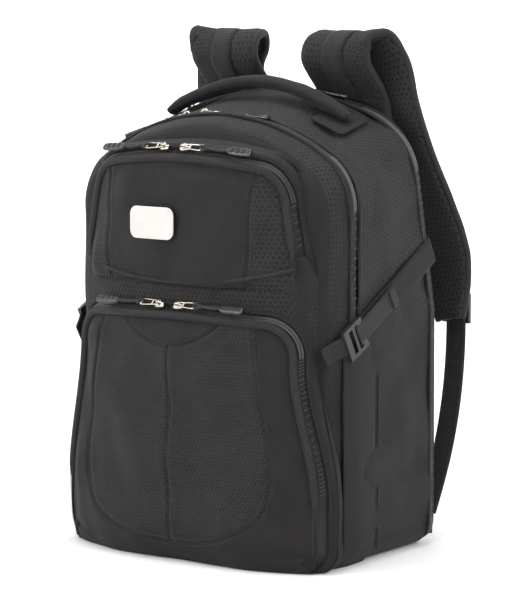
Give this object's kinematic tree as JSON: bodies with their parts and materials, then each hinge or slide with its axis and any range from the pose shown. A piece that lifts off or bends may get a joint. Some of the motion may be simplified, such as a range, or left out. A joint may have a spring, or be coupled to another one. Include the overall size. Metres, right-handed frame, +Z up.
{
  "type": "school backpack",
  "caption": "Three-compartment school backpack with two front pockets, zipped openings, padded shoulder straps, grab handle and side compression straps.",
  "frame": {"origin": "on the floor under the bag, on the bottom face of its base", "axes": "+Z up, -Y the bag's front, +X to the right seen from the front"},
  "size_m": [0.3536, 0.3229, 0.5449],
  "materials": {
    "plain_fabric": "fine polyester twill",
    "honeycomb_fabric": "polyester with an embossed honeycomb",
    "air_mesh": "padded spacer mesh",
    "lining": "smooth lining cloth over foam",
    "webbing": "ribbed webbing",
    "zip_coil": "nylon coil zip on woven tape",
    "buckle_plastic": "moulded satin plastic",
    "pull_rubber": "glossy moulded rubber on cord",
    "slider_metal": "polished cast metal"
  },
  "bodies": {
    "main_section": {"shell_base": "plain_fabric", "shell_side_left": "plain_fabric", "shell_side_right": "plain_fabric", "shell_top": "plain_fabric", "divider_panel": "lining", "main_zip": "zip_coil", "handle_anchor_left": "plain_fabric", "handle_anchor_right": "plain_fabric", "handle_rivets": "slider_metal", "compression_band_left": "webbing", "compression_band_right": "webbing"},
    "back_section": {"back_panel": "plain_fabric", "rear_zip": "zip_coil", "lumbar_pad": "air_mesh", "back_pad_left": "air_mesh", "back_pad_right": "air_mesh", "back_pad_upper": "air_mesh", "strap_yoke": "plain_fabric", "strap_tab_left": "plain_fabric", "strap_tab_right": "plain_fabric", "lower_webbing_left": "webbing", "lower_webbing_right": "webbing"},
    "front_section": {"front_wall": "plain_fabric", "front_side_left": "plain_fabric", "front_side_right": "plain_fabric", "front_top": "honeycomb_fabric", "front_base": "plain_fabric", "lower_zip": "zip_coil", "upper_zip": "zip_coil", "lower_pocket_pouch": "plain_fabric", "upper_pocket_pouch": "plain_fabric", "compression_webbing_left": "webbing", "compression_webbing_right": "webbing"},
    "lower_flap": {"lower_pocket_flap": "honeycomb_fabric"},
    "upper_flap": {"upper_pocket_flap": "plain_fabric"},
    "handle": {"grab_handle": "plain_fabric"},
    "shoulder_strap_left": {"strap_pad_left": "honeycomb_fabric", "strap_webbing_left": "webbing"},
    "lock_left": {"ladder_lock_left": "buckle_plastic"},
    "buckle_left": {"compression_buckle_left": "buckle_plastic"},
    "lower_slider_left_body": {"lower_slider_left": "slider_metal"},
    "lower_pull_left_body": {"lower_pull_left": "pull_rubber"},
    "upper_slider_left_body": {"upper_slider_left": "slider_metal"},
    "upper_pull_left_body": {"upper_pull_left": "pull_rubber"},
    "main_slider_left_body": {"main_slider_left": "slider_metal"},
    "main_pull_left_body": {"main_pull_left": "pull_rubber"},
    "rear_slider_left_body": {"rear_slider_left": "slider_metal"},
    "rear_pull_left_body": {"rear_pull_left": "pull_rubber"},
    "shoulder_strap_right": {"strap_pad_right": "honeycomb_fabric", "strap_webbing_right": "webbing"},
    "lock_right": {"ladder_lock_right": "buckle_plastic"},
    "buckle_right": {"compression_buckle_right": "buckle_plastic"},
    "lower_slider_right_body": {"lower_slider_right": "slider_metal"},
    "lower_pull_right_body": {"lower_pull_right": "pull_rubber"},
    "upper_slider_right_body": {"upper_slider_right": "slider_metal"},
    "upper_pull_right_body": {"upper_pull_right": "pull_rubber"},
    "main_slider_right_body": {"main_slider_right": "slider_metal"},
    "main_pull_right_body": {"main_pull_right": "pull_rubber"},
    "rear_slider_right_body": {"rear_slider_right": "slider_metal"},
    "rear_pull_right_body": {"rear_pull_right": "pull_rubber"}
  },
  "joints": [
    {"name": "front_compartment_fold", "type": "hinge", "parent": "main_section", "child": "front_section", "pos_m": [0, -0.08, 0], "axis": [1, 0, 0], "range_deg": [0, 12], "deforming": ["compression_webbing_left", "compression_webbing_right"]},
    {"name": "laptop_compartment_fold", "type": "hinge", "parent": "main_section", "child": "back_section", "pos_m": [0, 0.15, 0], "axis": [-1, 0, 0], "range_deg": [0, 9]},
    {"name": "lower_flap_fold", "type": "hinge", "parent": "front_section", "child": "lower_flap", "pos_m": [0, -0.1015, 0.082], "axis": [1, 0, 0], "range_deg": [0, 60]},
    {"name": "upper_flap_fold", "type": "hinge", "parent": "front_section", "child": "upper_flap", "pos_m": [0, -0.0915, 0.324], "axis": [1, 0, 0], "range_deg": [0, 55]},
    {"name": "handle_swing", "type": "hinge", "parent": "main_section", "child": "handle", "pos_m": [0, 0.047, 0.452], "axis": [-1, 0, 0], "range_deg": [-20, 5]},
    {"name": "strap_swing_left", "type": "hinge", "parent": "back_section", "child": "shoulder_strap_left", "pos_m": [-0.074, 0.123, 0.446], "axis": [-1, 0, 0], "range_deg": [0, 8], "deforming": ["lower_webbing_left"]},
    {"name": "ladder_lock_tilt_left", "type": "hinge", "parent": "shoulder_strap_left", "child": "lock_left", "pos_m": [-0.1365, 0.2176, 0.258], "axis": [1, 0, 0], "range_deg": [0, 40]},
    {"name": "buckle_tilt_left", "type": "hinge", "parent": "main_section", "child": "buckle_left", "pos_m": [-0.1745, -0.00652, 0.2411], "axis": [0, 0.4695, -0.8829], "range_deg": [0, 35]},
    {"name": "strap_swing_right", "type": "hinge", "parent": "back_section", "child": "shoulder_strap_right", "pos_m": [0.074, 0.123, 0.446], "axis": [-1, 0, 0], "range_deg": [0, 8], "deforming": ["lower_webbing_right"]},
    {"name": "ladder_lock_tilt_right", "type": "hinge", "parent": "shoulder_strap_right", "child": "lock_right", "pos_m": [0.1365, 0.2176, 0.258], "axis": [1, 0, 0], "range_deg": [0, 40]},
    {"name": "buckle_tilt_right", "type": "hinge", "parent": "main_section", "child": "buckle_right", "pos_m": [0.1745, -0.00652, 0.2411], "axis": [0, -0.4695, 0.8829], "range_deg": [0, 35]},
    {"name": "lower_slider_run_left", "type": "hinge", "parent": "front_section", "child": "lower_slider_left_body", "pos_m": [0, 0.26193, 0.20222], "axis": [0, -0.1793, -0.9838], "range_deg": [0, 12.2]},
    {"name": "lower_pull_flip_left", "type": "hinge", "parent": "lower_slider_left_body", "child": "lower_pull_left_body", "pos_m": [-0.01525, -0.0957, 0.27224], "axis": [0.0256, 0.7426, 0.6692], "range_deg": [0, 100]},
    {"name": "lower_slider_run_right", "type": "hinge", "parent": "front_section", "child": "lower_slider_right_body", "pos_m": [0, 0.26193, 0.20222], "axis": [0, 0.1793, 0.9838], "range_deg": [0, 13.2]},
    {"name": "lower_pull_flip_right", "type": "hinge", "parent": "lower_slider_right_body", "child": "lower_pull_right_body", "pos_m": [0.00915, -0.09591, 0.27228], "axis": [0.0153, -0.743, -0.6692], "range_deg": [0, 100]},
    {"name": "upper_slider_run_left", "type": "hinge", "parent": "front_section", "child": "upper_slider_left_body", "pos_m": [0, 0.24752, 0.19777], "axis": [0, -0.5716, -0.8205], "range_deg": [0, 10.2]},
    {"name": "upper_pull_flip_left", "type": "hinge", "parent": "upper_slider_left_body", "child": "upper_pull_left_body", "pos_m": [-0.0163, -0.08575, 0.43211], "axis": [0.0091, 0.743, 0.6692], "range_deg": [0, 100]},
    {"name": "upper_slider_run_right", "type": "hinge", "parent": "front_section", "child": "upper_slider_right_body", "pos_m": [0, 0.24752, 0.19777], "axis": [0, 0.5716, 0.8205], "range_deg": [0, 11]},
    {"name": "upper_pull_flip_right", "type": "hinge", "parent": "upper_slider_right_body", "child": "upper_pull_right_body", "pos_m": [0.01019, -0.08592, 0.43222], "axis": [0.0057, -0.7431, -0.6692], "range_deg": [0, 100]},
    {"name": "main_slider_run_left", "type": "hinge", "parent": "main_section", "child": "main_slider_left_body", "pos_m": [0, -0.0104, 0.1885], "axis": [0, -1, 0], "range_deg": [0, 14.2]},
    {"name": "main_pull_flip_left", "type": "hinge", "parent": "main_slider_left_body", "child": "main_pull_left_body", "pos_m": [-0.04853, -0.0104, 0.45349], "axis": [0, 1, 0], "range_deg": [0, 100]},
    {"name": "main_slider_run_right", "type": "hinge", "parent": "main_section", "child": "main_slider_right_body", "pos_m": [0, -0.0104, 0.1885], "axis": [0, 1, 0], "range_deg": [0, 29.8]},
    {"name": "main_pull_flip_right", "type": "hinge", "parent": "main_slider_right_body", "child": "main_pull_right_body", "pos_m": [-0.02437, -0.0104, 0.4568], "axis": [0, -1, 0], "range_deg": [0, 100]},
    {"name": "rear_slider_run_left", "type": "hinge", "parent": "back_section", "child": "rear_slider_left_body", "pos_m": [0, 0.0895, 0.1265], "axis": [0, -1, 0], "range_deg": [0, 12.1]},
    {"name": "rear_pull_swing_left", "type": "hinge", "parent": "rear_slider_left_body", "child": "rear_pull_left_body", "pos_m": [-0.02125, 0.0895, 0.48026], "axis": [-0.06, 0, 0.9982], "range_deg": [0, 15]},
    {"name": "rear_slider_run_right", "type": "hinge", "parent": "back_section", "child": "rear_slider_right_body", "pos_m": [0, 0.0895, 0.1265], "axis": [0, 1, 0], "range_deg": [0, 15.1]},
    {"name": "rear_pull_swing_right", "type": "hinge", "parent": "rear_slider_right_body", "child": "rear_pull_right_body", "pos_m": [0.00304, 0.0895, 0.48089], "axis": [-0.0086, 0, -1], "range_deg": [0, 15]}
  ]
}
